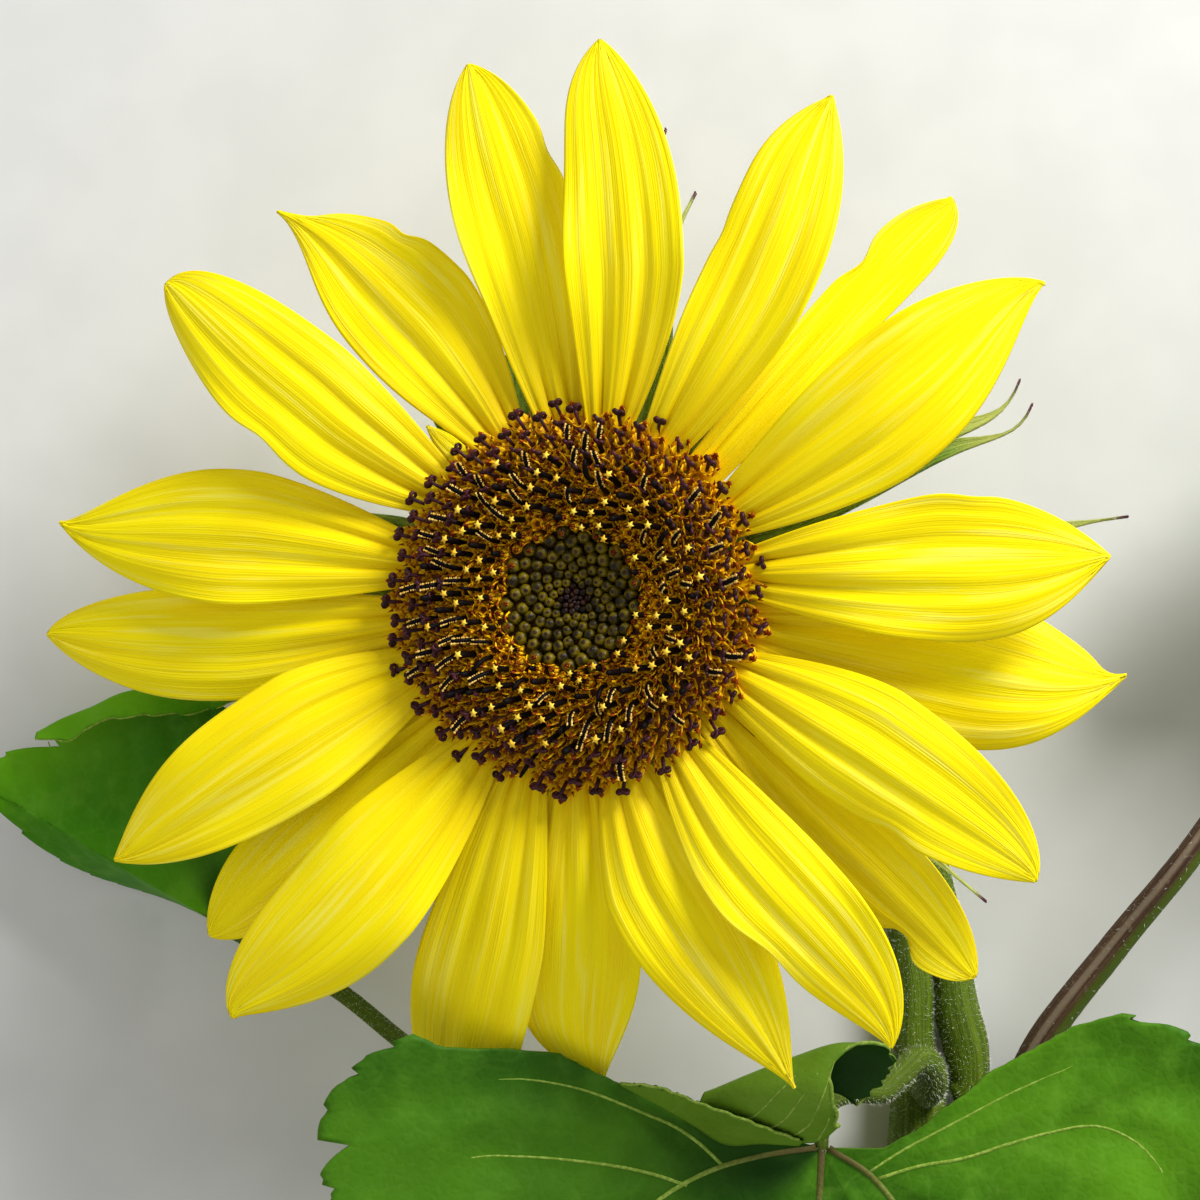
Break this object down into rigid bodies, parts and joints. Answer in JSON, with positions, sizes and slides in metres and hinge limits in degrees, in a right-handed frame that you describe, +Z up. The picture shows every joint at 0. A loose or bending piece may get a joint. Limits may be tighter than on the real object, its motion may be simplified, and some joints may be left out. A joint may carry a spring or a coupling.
{
  "type": "cut sunflower bloom with stem and leaves",
  "caption": "Cut sunflower lying face up: an open yellow bloom with a brown disc on a bent stem piece, with broad heart-shaped leaves and pointed green bracts.",
  "frame": {"origin": "on the ground, under the middle of the whole cut flower as it lies", "axes": "+Z up out of the ground, the way the bloom faces; +Y from the stem's cut end towards the bloom; the bloom leans towards -X"},
  "size_m": [0.2722, 0.2971, 0.0705],
  "materials": {
    "ray_petal": "soft satin yellow",
    "floret_bud": "dull olive",
    "open_floret": "dull amber and maroon",
    "bract": "matt green",
    "stem_skin": "matt green with short hairs",
    "leaf_stalk_purple": "matt purple-brown",
    "leaf_blade": "matt dark green"
  },
  "bodies": {
    "root": {"receptacle": "bract", "disc_florets": "open_floret", "disc_buds": "floret_bud", "ray_01": "ray_petal", "ray_02": "ray_petal", "ray_03": "ray_petal", "ray_04": "ray_petal", "ray_05": "ray_petal", "ray_06": "ray_petal", "ray_07": "ray_petal", "ray_08": "ray_petal", "ray_09": "ray_petal", "ray_10": "ray_petal", "ray_11": "ray_petal", "ray_12": "ray_petal", "ray_13": "ray_petal", "ray_14": "ray_petal", "ray_15": "ray_petal", "ray_16": "ray_petal", "ray_17": "ray_petal", "ray_18": "ray_petal", "ray_19": "ray_petal", "ray_20": "ray_petal", "ray_stunted": "ray_petal", "bract_01": "bract", "bract_02": "bract", "bract_03": "bract", "bract_04": "bract", "bract_05": "bract", "bract_06": "bract", "bract_07": "bract", "bract_08": "bract", "bract_09": "bract", "bract_10": "bract", "bract_11": "bract", "bract_12": "bract", "bract_13": "bract", "bract_14": "bract", "bract_15": "bract", "bract_16": "bract", "bract_17": "bract", "bract_18": "bract", "bract_19": "bract", "bract_20": "bract", "stem": "stem_skin", "side_stem": "stem_skin", "leaf_low_stalk": "stem_skin", "leaf_right_stalk": "leaf_stalk_purple", "leaf_left_stalk": "stem_skin", "leaf_low": "leaf_blade", "leaf_right": "leaf_blade", "leaf_left": "leaf_blade", "leaf_low_flap": "leaf_blade"}
  },
  "joints": []
}
